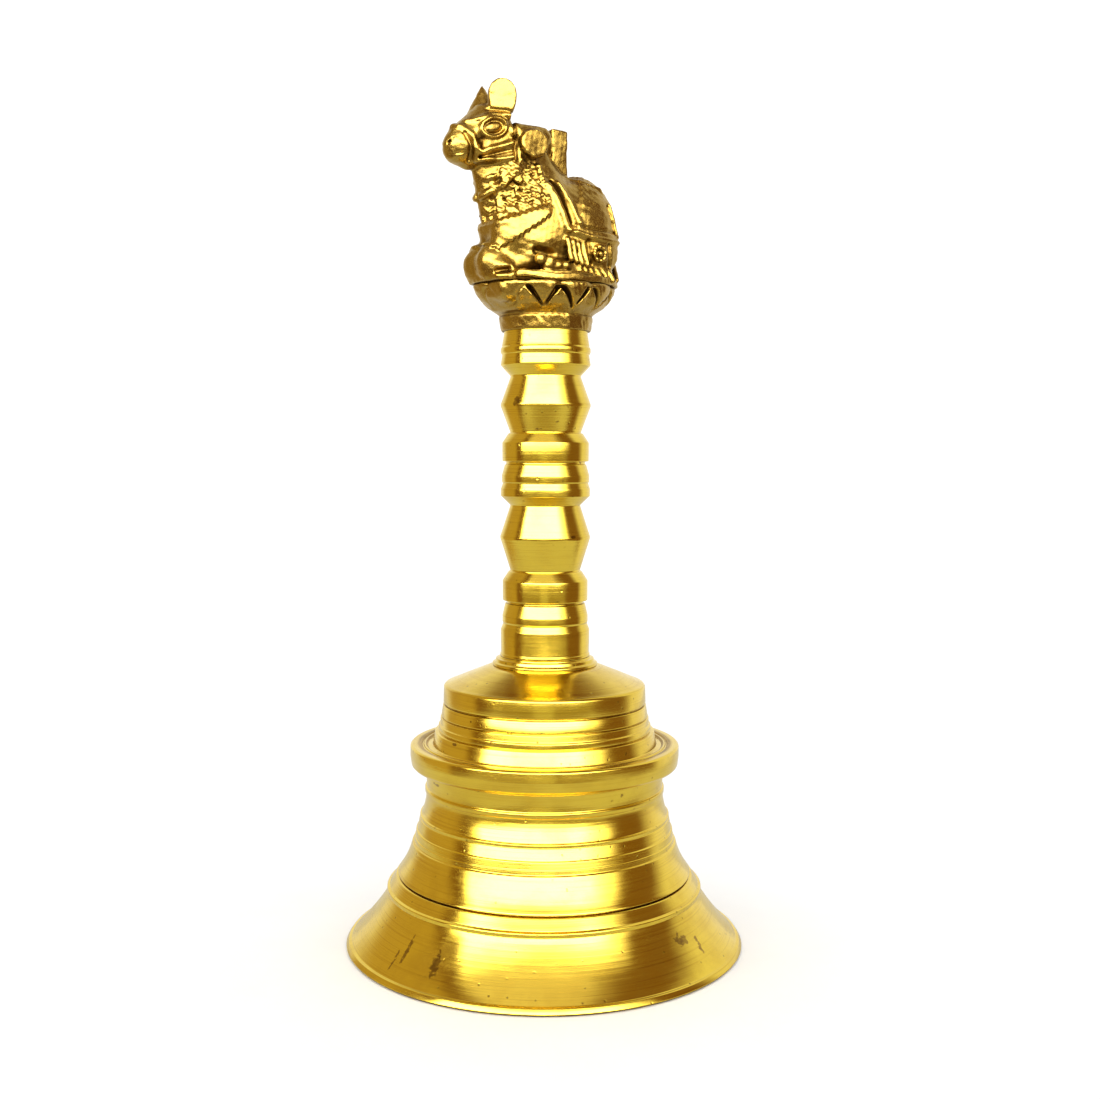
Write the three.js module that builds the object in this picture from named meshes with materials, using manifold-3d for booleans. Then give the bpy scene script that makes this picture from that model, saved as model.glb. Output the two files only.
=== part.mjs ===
// Brass puja bell: a turned hand bell with a seated bull on a lotus base as its finial.
// Millimetres, +Z up. The origin is on the bell's axis, in the plane of its lip.
import * as THREE from 'three';
import { mergeVertices } from 'three/addons/utils/BufferGeometryUtils.js';
import Module from 'manifold-3d';

const wasm = await Module();
wasm.setup();

// ---------- driving dimensions ----------

const GAP = 0.3; // running clearance left between a stem and its hole

const BELL = {
  lipRadius: 35,
  lipInner: 33.2,
  flareTop: 9.6, // underside of the raised ring above the flare
  waistRadius: 21,
  flangeRadius: 23.7,
  flangeBottom: 31.4,
  flangeTop: 35.5,
  shoulderRadius: 17.3,
  shoulderTop: 46,
  crownTop: 49.2,
  crownInner: 46.4, // underside of the crown, where the washer sits
  seatRadius: 9.4,
  segments: 40,
};

const SEAT_RING = { radius: 9.2, thickness: 1.6 };

const HANDLE = {
  bottom: BELL.crownTop + SEAT_RING.thickness,
  top: 107.2,
  radius: 7.8,
  neckRadius: 7.85,
  grooveRadius: 7,
  waistRadius: 6.1,
  segments: 28,
};

const STEM = { radius: 2.5, top: 65.7, bottom: 40.2 };
const STUD = { radius: 2.5, bottom: 98, top: 112.5 };
const WASHER = { radius: 6.4, thickness: 0.8 };
const NUT = { acrossFlats: 8, height: 3.6 };

const EYE = { ring: 2.9, wire: 1.1, centre: 38.1 };
const LINK = { ring: 3.6, wire: 0.85, centre: 33.8 };
const HOOK = { ring: 2.4, wire: 0.95, centre: 29.85 };
const ROD = { radius: 1.4, top: 27 };
const BALL = { radius: 5.5, centre: 10, boreBottom: 7.3 };

const LOTUS = {
  collarRadius: 8.1,
  collarTop: 110,
  rimRadius: 11.2,
  top: 114.9,
  stretch: 1.14, // how much longer the base is along the bull than across it
  gouges: 16,
};

const HEADING = THREE.MathUtils.degToRad(30); // how far the bull turns from -X towards -Y

// ---------- solids ----------

// A closed triangle mesh as a manifold solid.
function toSolid(geometry) {
  const bare = geometry.clone();
  bare.deleteAttribute('normal');
  bare.deleteAttribute('uv');
  const merged = mergeVertices(bare, 1e-4);
  const triangles = [];
  for (let i = 0; i < merged.index.count; i += 3) {
    const [a, b, c] = [0, 1, 2].map((k) => merged.index.getX(i + k));
    if (a !== b && b !== c && c !== a) triangles.push(a, b, c);
  }
  const mesh = new wasm.Mesh({
    numProp: 3,
    vertProperties: merged.attributes.position.array,
    triVerts: Uint32Array.from(triangles),
  });
  return new wasm.Manifold(mesh);
}

function toGeometry(solid) {
  const mesh = solid.getMesh();
  const geometry = new THREE.BufferGeometry();
  geometry.setAttribute('position', new THREE.BufferAttribute(mesh.vertProperties, 3));
  geometry.setIndex(new THREE.BufferAttribute(mesh.triVerts, 1));
  geometry.computeVertexNormals();
  return geometry;
}

function join(pieces) {
  return pieces.map(toSolid).reduce((whole, piece) => whole.add(piece));
}

// Turns a profile of (radius, height) points about the Z axis.
function turn(points, segments) {
  return new THREE.LatheGeometry(points, segments).rotateX(Math.PI / 2);
}

// A disc or sleeve between two heights, round its hole.
function sleeve(inner, outer, bottom, top, segments) {
  const corners = [[inner, bottom], [outer, bottom], [outer, top], [inner, top], [inner, bottom]];
  return turn(corners.map(([r, z]) => new THREE.Vector2(r, z)), segments);
}

function rodBetween(radius, bottom, top, segments = 16) {
  return new THREE.CylinderGeometry(radius, radius, top - bottom, segments)
    .rotateX(Math.PI / 2)
    .translate(0, 0, (bottom + top) / 2);
}

// A wire ring hanging in the XZ plane, or in the YZ plane.
function wireRing({ ring, wire, centre }, plane) {
  const torus = new THREE.TorusGeometry(ring, wire, 8, 24);
  if (plane === 'XZ') torus.rotateX(Math.PI / 2);
  else torus.rotateY(Math.PI / 2);
  return torus.translate(0, 0, centre);
}

// ---------- bell ----------

function bellOutline() {
  const { lipRadius, lipInner, flareTop, waistRadius, flangeRadius, flangeBottom, flangeTop } = BELL;
  const { shoulderRadius, shoulderTop, crownTop, crownInner, seatRadius } = BELL;
  const hole = STEM.radius + GAP;
  const path = new THREE.Path();
  path.moveTo(lipInner, 0);
  path.lineTo(lipRadius, 0);
  path.lineTo(lipRadius - 1, 0.9);
  path.quadraticCurveTo(lipRadius - 4.6, 4.8, lipRadius - 7.4, flareTop);
  // raised ring above the flare, then the band up to the deep groove
  path.lineTo(lipRadius - 7, flareTop);
  path.lineTo(lipRadius - 7.2, flareTop + 1);
  path.lineTo(lipRadius - 7.8, flareTop + 1);
  path.lineTo(lipRadius - 9.1, flareTop + 2.8);
  path.lineTo(lipRadius - 9.6, flareTop + 2.9);
  path.lineTo(lipRadius - 9.4, flareTop + 3.2);
  path.quadraticCurveTo(waistRadius + 3, 15, waistRadius + 2.3, 18.2);
  // stepped rings up the waist
  path.lineTo(waistRadius + 1.9, 18.4);
  path.lineTo(waistRadius + 1.9, 19.1);
  path.lineTo(waistRadius + 1.6, 20.5);
  path.lineTo(waistRadius + 1.1, 22.4);
  path.lineTo(waistRadius + 1.2, 23.1);
  path.quadraticCurveTo(waistRadius, 24.8, waistRadius - 0.1, 27);
  path.lineTo(waistRadius + 0.2, 27.1);
  path.lineTo(waistRadius + 0.2, 28);
  path.lineTo(waistRadius - 0.2, 28.1);
  path.lineTo(waistRadius - 0.1, flangeBottom - 0.4);
  // rounded flange
  path.quadraticCurveTo(flangeRadius - 0.3, flangeBottom, flangeRadius, flangeBottom + 1.9);
  path.quadraticCurveTo(flangeRadius, flangeTop - 0.2, flangeRadius - 1.6, flangeTop);
  path.lineTo(shoulderRadius + 3.2, flangeTop - 0.3);
  // four stepped bands up the shoulder
  path.lineTo(shoulderRadius + 2.2, flangeTop + 0.1);
  path.lineTo(shoulderRadius + 1.9, 37.7);
  path.lineTo(shoulderRadius + 1.3, 37.9);
  path.lineTo(shoulderRadius + 1.1, 40.3);
  path.lineTo(shoulderRadius + 0.8, 40.5);
  path.lineTo(shoulderRadius + 0.6, 42.6);
  path.lineTo(shoulderRadius + 0.5, 43);
  path.lineTo(shoulderRadius, 45.2);
  path.lineTo(shoulderRadius - 0.5, shoulderTop);
  // domed crown, up to the flat seat of the handle
  path.quadraticCurveTo(shoulderRadius - 3, 47.2, seatRadius, crownTop);
  path.lineTo(hole, crownTop);
  path.lineTo(hole, crownInner);
  // inside, from the crown down to the lip
  path.lineTo(8.6, crownInner);
  path.quadraticCurveTo(14.4, 44.6, 15.2, 42);
  path.lineTo(16.4, 37);
  path.quadraticCurveTo(18.4, 34, 18.5, 29);
  path.quadraticCurveTo(18.8, 21, 21.9, 15.5);
  path.quadraticCurveTo(24.8, 9.6, 30.2, 3.4);
  path.lineTo(lipInner, 0);
  return path.getPoints(3);
}

function bellCup() {
  return turn(bellOutline(), BELL.segments);
}

function handleSeatRing() {
  const bottom = BELL.crownTop;
  return sleeve(STEM.radius + GAP, SEAT_RING.radius, bottom, HANDLE.bottom, BELL.segments);
}

// ---------- handle ----------

// Two cones base to base between narrow waists: the swelling of a turned grip.
function doubleCone(bottom, height) {
  const { radius, waistRadius } = HANDLE;
  return [
    [waistRadius, bottom],
    [waistRadius, bottom + height * 0.04],
    [radius, bottom + height * 0.44],
    [radius, bottom + height * 0.5],
    [waistRadius, bottom + height * 0.9],
    [waistRadius, bottom + height],
  ];
}

// One turned step of the grip, a raised ring or a groove.
function band(bottom, top, radius) {
  return [[radius, bottom], [radius, top]];
}

// The same run of rings stands above and below each swelling, so it is stated once.
// Heights are measured from the bottom of the group.
function ringGroup(bottom) {
  const { radius, grooveRadius } = HANDLE;
  return [
    ...band(bottom, bottom + 2.5, radius),
    ...band(bottom + 2.6, bottom + 3.2, grooveRadius + 0.4),
    ...band(bottom + 3.3, bottom + 5.2, radius - 0.1),
    ...band(bottom + 5.4, bottom + 6.2, grooveRadius),
    ...band(bottom + 6.4, bottom + 10, radius - 0.2),
  ];
}

function handle() {
  const { bottom, top, radius, neckRadius, grooveRadius } = HANDLE;
  const hole = STEM.radius + GAP;
  const upperGroup = 100.8;
  const middleGroup = 78.5;
  const outline = [
    [0, STEM.top + GAP],
    [hole, STEM.top + GAP],
    [hole, bottom],
    ...band(bottom, 55.6, neckRadius),
    ...band(56, 56.5, grooveRadius + 0.3),
    ...band(56.8, 59.2, radius - 0.3),
    ...band(59.5, 60.1, grooveRadius),
    ...band(60.4, 64.8, radius - 0.4),
    ...doubleCone(65.6, 12),
    ...ringGroup(middleGroup),
    ...doubleCone(89.2, 10.8),
    ...band(upperGroup, upperGroup + 2.2, radius),
    ...band(upperGroup + 2.4, upperGroup + 3.2, radius - 0.2),
    ...band(upperGroup + 3.4, upperGroup + 4.8, radius),
    ...band(upperGroup + 5, top, radius - 0.4),
    [hole, top],
    [hole, STUD.bottom - GAP],
    [0, STUD.bottom - GAP],
  ];
  return turn(outline.map(([r, z]) => new THREE.Vector2(r, z)), HANDLE.segments);
}

// ---------- finial ----------

// Turns a shape built along +X, seen from its right-hand side, to the bull's heading.
function faceHeading(geometry) {
  return geometry.rotateZ(Math.PI + HEADING);
}

// Draws the round collar out into an oval towards the top of the lotus base.
function stretchBowl(geometry) {
  const places = geometry.attributes.position;
  for (let i = 0; i < places.count; i += 1) {
    const rise = (places.getZ(i) - LOTUS.collarTop) / (LOTUS.top - LOTUS.collarTop);
    const reach = THREE.MathUtils.clamp(rise, 0, 1);
    places.setX(i, places.getX(i) * (1 + (LOTUS.stretch - 1) * reach) + 0.5 * reach);
  }
  return geometry;
}

// The slanting wedge cuts that part the petals, leaning left and right in turn.
function petalGouges() {
  const { gouges, rimRadius, top, stretch } = LOTUS;
  const cuts = [];
  for (let i = 0; i < gouges; i += 1) {
    const angle = (2 * Math.PI * (i + 0.5)) / gouges;
    const lean = i % 2 === 0 ? 0.45 : -0.45;
    const wedge = new THREE.ConeGeometry(1.3, 5.6, 4)
      .rotateX(-Math.PI / 2)
      .rotateX(lean)
      .rotateY(-0.35)
      .translate(rimRadius - 0.9, 0, top - 2.6)
      .rotateZ(angle);
    wedge.scale(stretch - 0.04, 1, 1).translate(0.4, 0, 0);
    cuts.push(toSolid(wedge));
  }
  return cuts;
}

function lotusPedestal() {
  const { collarRadius, collarTop, rimRadius, top } = LOTUS;
  const hole = STUD.radius + GAP;
  const path = new THREE.Path();
  path.moveTo(hole, HANDLE.top);
  path.lineTo(collarRadius - 0.3, HANDLE.top);
  path.lineTo(collarRadius, HANDLE.top + 0.4);
  path.lineTo(collarRadius, collarTop - 0.6);
  path.lineTo(collarRadius - 0.3, collarTop - 0.3);
  path.lineTo(collarRadius + 0.2, collarTop);
  path.quadraticCurveTo(rimRadius - 0.3, collarTop + 1.6, rimRadius, top);
  path.lineTo(0, top);
  path.lineTo(0, STUD.top + GAP);
  path.lineTo(hole, STUD.top + GAP);
  path.lineTo(hole, HANDLE.top);
  const bowl = stretchBowl(turn(path.getPoints(3), HANDLE.segments));
  const cut = petalGouges().reduce((solid, gouge) => solid.subtract(gouge), toSolid(bowl));
  return faceHeading(toGeometry(cut));
}

// An ellipsoid of the bull's body: half sizes along, across and up; the pitch noses it down.
function lump([along, across, up], [x, y, z], pitch = 0, yaw = 0, detail = 12) {
  return new THREE.SphereGeometry(1, detail, Math.round(detail * 0.6))
    .rotateX(Math.PI / 2)
    .scale(along, across, up)
    .rotateY(pitch)
    .rotateZ(yaw)
    .translate(x, y, z);
}

// The bull is built facing +X with its left side towards +Y.
function bullSlab() {
  const outline = new THREE.Shape();
  outline.absellipse(0.8, 0, 13.2, 10.4, 0, 2 * Math.PI);
  return new THREE.ExtrudeGeometry(outline, { depth: 2, bevelEnabled: false, curveSegments: 10 })
    .translate(0, 0, LOTUS.top);
}

function bullBody() {
  return [
    lump([11, 8.4, 9.8], [-0.6, 0, 123.4], 0, 0, 16),
    lump([7.4, 7.6, 8], [5.2, 0, 123.8]),
    lump([5.6, 5.6, 9.4], [7.9, 0, 130], 0.15, 0, 14),
    lump([5.6, 3.8, 6.2], [3.2, 0, 134.6]),
    lump([2, 2.3, 5.4], [-2, 0, 135.6]),
  ];
}

function bullHead() {
  return [
    lump([4.8, 4.4, 4.9], [10.2, 0, 139.8], 0.5, 0, 14),
    lump([5.6, 3.4, 3.6], [13.4, 0, 138.4], 0.8),
    lump([2.9, 3, 2.9], [16.5, 0, 136.8]),
  ];
}

// What comes in pairs, on the left side for side = 1 and on the right for side = -1.
function bullSide(side) {
  return [
    lump([1.3, 2.5, 3.4], [10.4, 3 * side, 145], -0.2, 0.5 * side),
    lump([3.4, 1.6, 2.3], [5.6, 4.1 * side, 138.4], 0, 0.3 * side, 10),
    lump([5.8, 2.9, 3.2], [9.2, 5 * side, 118.9], 0, -0.35 * side),
    lump([2.8, 2.6, 2.6], [13, 3 * side, 119]),
    lump([5.2, 2.8, 4.6], [-3.6, 6.6 * side, 121.2]),
    lump([5, 1.9, 2.1], [0.4, 8.2 * side, 118.2], 0, 0.12 * side),
  ];
}

function nandi() {
  const pieces = [bullSlab(), ...bullBody(), ...bullHead(), ...bullSide(1), ...bullSide(-1)];
  const below = new THREE.BoxGeometry(60, 60, 20).translate(0, 0, LOTUS.top - 10);
  return faceHeading(toGeometry(join(pieces).subtract(toSolid(below))));
}

// ---------- fixings and clapper ----------

function finialStud() {
  return rodBetween(STUD.radius, STUD.bottom, STUD.top);
}

function clapperEyeBolt() {
  return toGeometry(join([rodBetween(STEM.radius, STEM.bottom, STEM.top), wireRing(EYE, 'YZ')]));
}

function crownWasher() {
  const top = BELL.crownInner;
  return sleeve(STEM.radius + GAP, WASHER.radius, top - WASHER.thickness, top, 28);
}

function crownNut() {
  const top = BELL.crownInner - WASHER.thickness;
  const corner = NUT.acrossFlats / 2 / Math.cos(Math.PI / 6);
  const blank = rodBetween(corner, top - NUT.height, top, 6);
  const hole = rodBetween(STEM.radius + GAP, top - NUT.height - 1, top + 1, 20);
  return toGeometry(toSolid(blank).subtract(toSolid(hole)));
}

function clapperLink() {
  return wireRing(LINK, 'XZ');
}

function clapperRod() {
  const shaft = rodBetween(ROD.radius, BALL.boreBottom + GAP, ROD.top);
  return toGeometry(join([wireRing(HOOK, 'YZ'), shaft]));
}

function clapperBall() {
  const ball = new THREE.SphereGeometry(BALL.radius, 20, 12)
    .rotateX(Math.PI / 2)
    .translate(0, 0, BALL.centre);
  const bore = rodBetween(ROD.radius + GAP, BALL.boreBottom, BALL.centre + BALL.radius + 1);
  return toGeometry(toSolid(ball).subtract(toSolid(bore)));
}

// ---------- assembly ----------

const POLISHED = { color: 0xd9a520, roughness: 0.18, metalness: 1 };
const CAST = { color: 0xb8892a, roughness: 0.42, metalness: 1 };
const WORN = { color: 0x9a7a34, roughness: 0.5, metalness: 1 };

const PARTS = [
  ['bell_cup', bellCup, POLISHED],
  ['handle_seat_ring', handleSeatRing, POLISHED],
  ['handle', handle, POLISHED],
  ['lotus_pedestal', lotusPedestal, CAST],
  ['nandi', nandi, CAST],
  ['finial_stud', finialStud, WORN],
  ['clapper_eye_bolt', clapperEyeBolt, WORN],
  ['crown_washer', crownWasher, WORN],
  ['crown_nut', crownNut, WORN],
  ['clapper_link', clapperLink, WORN],
  ['clapper_rod', clapperRod, WORN],
  ['clapper_ball', clapperBall, POLISHED],
];

const bell = new THREE.Group();
for (const [name, build, finish] of PARTS) {
  const mesh = new THREE.Mesh(build(), new THREE.MeshStandardMaterial(finish));
  mesh.name = name;
  bell.add(mesh);
}

export default bell;
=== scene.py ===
# A brass puja bell: turned bell and grip, a seated bull cast on a lotus base, and the clapper inside.
# Metres, +Z up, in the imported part's own frame.
import math
import random

import bmesh
import bpy
import numpy as np
from mathutils import Matrix, Vector


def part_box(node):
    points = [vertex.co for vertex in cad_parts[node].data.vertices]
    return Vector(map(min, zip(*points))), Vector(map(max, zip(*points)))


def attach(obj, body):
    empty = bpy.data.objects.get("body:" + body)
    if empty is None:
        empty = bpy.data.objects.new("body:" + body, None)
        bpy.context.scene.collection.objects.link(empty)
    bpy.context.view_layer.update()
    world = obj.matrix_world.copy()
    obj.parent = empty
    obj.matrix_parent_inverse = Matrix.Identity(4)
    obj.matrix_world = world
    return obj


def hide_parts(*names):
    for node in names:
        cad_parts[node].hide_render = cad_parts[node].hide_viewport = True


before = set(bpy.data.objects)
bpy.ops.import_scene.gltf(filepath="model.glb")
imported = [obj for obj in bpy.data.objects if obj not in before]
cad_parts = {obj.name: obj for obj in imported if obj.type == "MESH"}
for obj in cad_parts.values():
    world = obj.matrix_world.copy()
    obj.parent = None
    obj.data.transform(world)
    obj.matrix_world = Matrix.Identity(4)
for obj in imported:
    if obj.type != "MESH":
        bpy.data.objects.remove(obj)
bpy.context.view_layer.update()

MM = 0.001

_, bell_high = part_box("bell_cup")
seat_low, seat_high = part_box("handle_seat_ring")
grip_low, grip_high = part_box("handle")
lotus_low, lotus_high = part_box("lotus_pedestal")
stud_low, stud_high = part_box("finial_stud")
eye_low, eye_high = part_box("clapper_eye_bolt")
washer_low, washer_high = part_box("crown_washer")
nut_low, nut_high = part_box("crown_nut")
link_low, link_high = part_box("clapper_link")
rod_low, rod_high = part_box("clapper_rod")
ball_low, ball_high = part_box("clapper_ball")

LIP_RADIUS = bell_high.x
HEADING = math.radians(30)  # the bull turns this far from -X towards -Y
PLAIN_AXES = math.pi  # the heading that makes u, v and w the part's own X, Y and Z

# millimetres
BORE_RADIUS = 2.8  # of the crown, the seat ring, both ends of the grip and the foot of the lotus base
EDGE = 0.12  # the rounding of a turned edge
THREAD_PITCH, THREAD_DEPTH = 0.9, 0.28
STEM_RADIUS, ROD_RADIUS = 2.5, 1.4
EYE_WIRE, LINK_WIRE, HOOK_WIRE = 1.1, 0.85, 0.95
CAST_STEP, FIXING_STEP, LINK_STEP = 0.18, 0.12, 0.1  # between the samples of a sculpted piece


# ---------- meshes ----------

def new_object(name, vertices, faces):
    """An object made from vertices in metres."""
    mesh = bpy.data.meshes.new(name)
    mesh.from_pydata(vertices, [], faces)
    mesh.update()
    thing = bpy.data.objects.new(name, mesh)
    bpy.context.scene.collection.objects.link(thing)
    return thing


def shade_smooth(thing, angle=40):
    """Smooth shading, except over edges sharper than the angle in degrees."""
    for face in thing.data.polygons:
        face.use_smooth = True
    thing.data.set_sharp_from_angle(angle=math.radians(angle))


def soften(corners, radius):
    """Rounds every corner of an open (r, z) outline with a short arc of that radius."""
    most = 0.45  # the most of a side that an arc takes up
    out = [corners[0]]
    for before, corner, after in zip(corners, corners[1:], corners[2:]):
        a, b, c = (Vector(p) for p in (before, corner, after))
        reach = min(radius, (a - b).length * most, (c - b).length * most)
        start, end = b + (a - b).normalized() * reach, b + (c - b).normalized() * reach
        out += bend_points(start, b, end, (0, 0.33, 0.67, 1))
    out.append(corners[-1])
    return out


def bend_points(a, b, c, ts):
    """Points on the quadratic curve from a to c that b pulls on, as tuples."""
    return [tuple(a * (1 - t) ** 2 + b * (2 * t * (1 - t)) + c * t ** 2) for t in ts]


def curve(start, bend, end, steps=10):
    """Points of a quadratic curve between two (r, z) points, both ends included."""
    return bend_points(Vector(start), Vector(bend), Vector(end), [i / steps for i in range(steps + 1)])


def turned(name, outline, segments, closed=True, wobble=0):
    """Turns an (r, z) outline in millimetres about the Z axis.

    The outline is closed, or else it runs from axis to axis. wobble is how far the surface strays from
    round, as a hand-held tool leaves it.
    """
    profile = np.array(outline)
    count = len(profile)
    angles = np.arange(segments) * 2 * np.pi / segments
    r, z = profile[:, 0][None, :], profile[:, 1][None, :]
    lumps = wobble * (np.sin(3 * angles + 1)[:, None] * np.sin(0.21 * z + 2)
                      + 0.6 * np.sin(7 * angles + 4)[:, None] * np.sin(0.43 * z + 1))
    radius = r + lumps * (r > 0)
    points = np.stack([radius * np.cos(angles)[:, None], radius * np.sin(angles)[:, None],
                       np.broadcast_to(z, radius.shape)], axis=2) * MM
    faces = []
    steps = count if closed else count - 1
    for i in range(segments):
        here, there = i * count, ((i + 1) % segments) * count
        for j in range(steps):
            k = (j + 1) % count
            faces.append((here + j, there + j, there + k, here + k))
    thing = new_object(name, points.reshape(-1, 3).tolist(), faces)
    # points on the axis become one vertex
    solid = bmesh.new()
    solid.from_mesh(thing.data)
    touching = 1e-7
    on_axis = [v for v in solid.verts if v.co.xy.length < touching]
    bmesh.ops.remove_doubles(solid, verts=on_axis, dist=touching)
    solid.to_mesh(thing.data)
    solid.free()
    shade_smooth(thing)
    return thing


# ---------- solids from fields ----------
# A field is the distance in millimetres to a surface, negative inside, sampled on a grid.

class Grid:
    """A box of sample points in the bull's own frame: u forwards, v to its left, w up."""

    def __init__(self, low, high, step):
        self.low, self.step = np.array(low, float), step
        counts = [int(math.ceil((b - a) / step)) + 1 for a, b in zip(low, high)]
        axes = [(a + step * np.arange(n)).astype(np.float32) for a, n in zip(low, counts)]
        self.u, self.v, self.w = np.meshgrid(*axes, indexing="ij")
        self.side = np.abs(self.v)

    def part(self, low, high):
        """The slices of the grid that cover a box, and the sample points there."""
        spans = []
        for axis, (a, b) in enumerate(zip(low, high)):
            first = int((a - self.low[axis]) / self.step)
            last = int((b - self.low[axis]) / self.step) + 2
            spans.append(slice(max(first, 0), max(last, 1)))
        spans = tuple(spans)
        piece = Grid.__new__(Grid)
        for axis in ("u", "v", "w", "side"):
            setattr(piece, axis, getattr(self, axis)[spans])
        return spans, piece


def ellipsoid(g, centre, size, mirrored=False):
    """size holds the three half axes."""
    v = g.side if mirrored else g.v
    x, y, z = g.u - centre[0], v - centre[1], g.w - centre[2]
    near = np.sqrt((x / size[0]) ** 2 + (y / size[1]) ** 2 + (z / size[2]) ** 2)
    slope = np.sqrt((x / size[0] ** 2) ** 2 + (y / size[1] ** 2) ** 2 + (z / size[2] ** 2) ** 2)
    return near * (near - 1) / np.maximum(slope, 1e-6)


def limb(g, start, end, r_start, r_end, mirrored=False):
    """A rounded bar that tapers from one radius to the other."""
    v = g.side if mirrored else g.v
    d = [e - s for s, e in zip(start, end)]
    long = sum(x * x for x in d)
    x, y, z = g.u - start[0], v - start[1], g.w - start[2]
    t = np.clip((x * d[0] + y * d[1] + z * d[2]) / long, 0, 1)
    off = (x - t * d[0]) ** 2 + (y - t * d[1]) ** 2 + (z - t * d[2]) ** 2
    return np.sqrt(off) - (r_start + (r_end - r_start) * t)


def block(g, centre, half, edge):
    """A box with rounded edges; half holds its three half sizes."""
    q = [np.abs(axis - c) - (h - edge) for axis, c, h in zip((g.u, g.v, g.w), centre, half)]
    outside = np.sqrt(sum(np.maximum(side, 0) ** 2 for side in q))
    return outside + np.minimum(np.maximum.reduce(q), 0) - edge


def melt(a, b, k):
    """Joins two fields with a fillet about k wide."""
    h = np.clip(0.5 + 0.5 * (b - a) / k, 0, 1)
    return b * (1 - h) + a * h - k * h * (1 - h)


def under(x, soft=0.15):
    """1 where x is under 0, and 0 where it is over, with a soft edge."""
    return 0.5 - 0.5 * np.tanh(x / soft)


def from_line(g, points):
    """How far each sample is, seen from the side, from a line through (u, w) points."""
    far = None
    for (u0, w0), (u1, w1) in zip(points, points[1:]):
        du, dw = u1 - u0, w1 - w0
        t = np.clip(((g.u - u0) * du + (g.w - w0) * dw) / (du * du + dw * dw), 0, 1)
        near = np.hypot(g.u - u0 - t * du, g.w - w0 - t * dw)
        far = near if far is None else np.minimum(far, near)
    return far


def above_line(g, points):
    """How far each sample is above a line through (u, w) points, given from low u to high u."""
    return g.w - np.interp(g.u, *zip(*points)).astype(np.float32)


class Clay:
    """A solid being modelled: a field on a grid, with tools that work on one small area at a time."""

    def __init__(self, g, field):
        self.g, self.field = g, field

    def add(self, shape, k, low, high):
        """Melts on a shape, a function of a grid, inside the box from low to high."""
        spans, here = self.g.part(low, high)
        self.field[spans] = melt(self.field[spans], shape(here), k)

    def ball(self, centre, radius):
        """A bead on each side."""
        u, v, w = centre
        reach = radius + 1
        for side in (-1, 1):
            spot = (u, v * side, w)
            self.add(lambda here: limb(here, spot, (u, v * side + 0.01, w), radius, radius), 0.25,
                     [c - reach for c in spot], [c + reach for c in spot])

    def cords(self, points, radius, sides):
        """A round cord along the points on each side, as one straight stretch after another."""
        reach = radius + 1
        for a, b in zip(points, points[1:]):
            for side in sides:
                start, end = (a[0], a[1] * side, a[2]), (b[0], b[1] * side, b[2])
                low = [min(p) - reach for p in zip(start, end)]
                high = [max(p) + reach for p in zip(start, end)]
                spans, here = self.g.part(low, high)
                yield spans, limb(here, start, end, radius, radius)

    def bar(self, points, radius, sides=(-1, 1)):
        for spans, cord in self.cords(points, radius, sides):
            self.field[spans] = melt(self.field[spans], cord, 0.3)

    def cut(self, points, radius):
        for spans, cord in self.cords(points, radius, (-1, 1)):
            self.field[spans] = -melt(-self.field[spans], cord, 0.2)

    def stroke(self, points, width, height, deep=(0.5, 12), soft=0.18, tail=None):
        """A raised band, or a groove where height is negative, on both sides along (u, w) points.

        deep is the least and the most that it lies from the middle plane. tail is its width at the end.
        """
        us, ws = zip(*points)
        reach = width + 0.8
        low = (min(us) - reach, -deep[1], min(ws) - reach)
        high = (max(us) + reach, deep[1], max(ws) + reach)
        spans, here = self.g.part(low, high)
        half = width / 2
        if tail is not None:
            along = np.hypot(here.u - us[0], here.w - ws[0]) / math.hypot(us[-1] - us[0], ws[-1] - ws[0])
            half = width / 2 + (tail - width) / 2 * np.clip(along, 0, 1)
        mark = under(from_line(here, points) - half, soft) * under(deep[0] - here.side, 0.3)
        self.field[spans] -= height * mark


def edge_ends(axis, spans):
    """The slices at both ends of the grid's edges along an axis; spans are those of the other axes."""
    ends = []
    for along in (slice(0, -1), slice(1, None)):
        ends.append(tuple(along if a == axis else spans[a] for a in range(3)))
    return ends


def surface_net(field, low, step):
    """Vertices and quads of the field's zero surface: one vertex in each cell it passes through."""
    inside = field < 0
    shape = tuple(n - 1 for n in field.shape)
    total = np.zeros(shape + (3,), np.float32)
    count = np.zeros(shape, np.int8)
    for axis in range(3):
        others = [a for a in range(3) if a != axis]
        for i in (0, 1):
            for j in (0, 1):
                spans = dict(zip(others, (slice(o, o - 1 or None) for o in (i, j))))
                first, second = edge_ends(axis, spans)
                crossed = inside[first] != inside[second]
                at = np.nonzero(crossed)
                start, end = field[first][at], field[second][at]
                total[at + (axis,)] += start / (start - end)
                total[at + (others[0],)] += i
                total[at + (others[1],)] += j
                count += crossed
    cells = np.argwhere(count > 0)
    number = -np.ones(shape, np.int32)
    number[tuple(cells.T)] = np.arange(len(cells))
    places = total[tuple(cells.T)] / count[tuple(cells.T)][:, None]
    vertices = np.array(low) + step * (cells + places)
    quads = []
    for axis in range(3):
        b, c = (axis + 1) % 3, (axis + 2) % 3
        first, second = edge_ends(axis, [slice(1, -1)] * 3)
        start, end = inside[first], inside[second]
        offset = np.array([0 if a == axis else 1 for a in range(3)])
        at = np.argwhere(start != end) + offset
        flip = end[start != end]
        corners = []
        for db, dc in ((1, 1), (0, 1), (0, 0), (1, 0)):
            cell = at.copy()
            cell[:, b] -= db
            cell[:, c] -= dc
            corners.append(number[tuple(cell.T)])
        quad = np.stack(corners, axis=1)
        quad[flip] = quad[flip][:, ::-1]
        quads.append(quad)
    return vertices, np.concatenate(quads)


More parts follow.
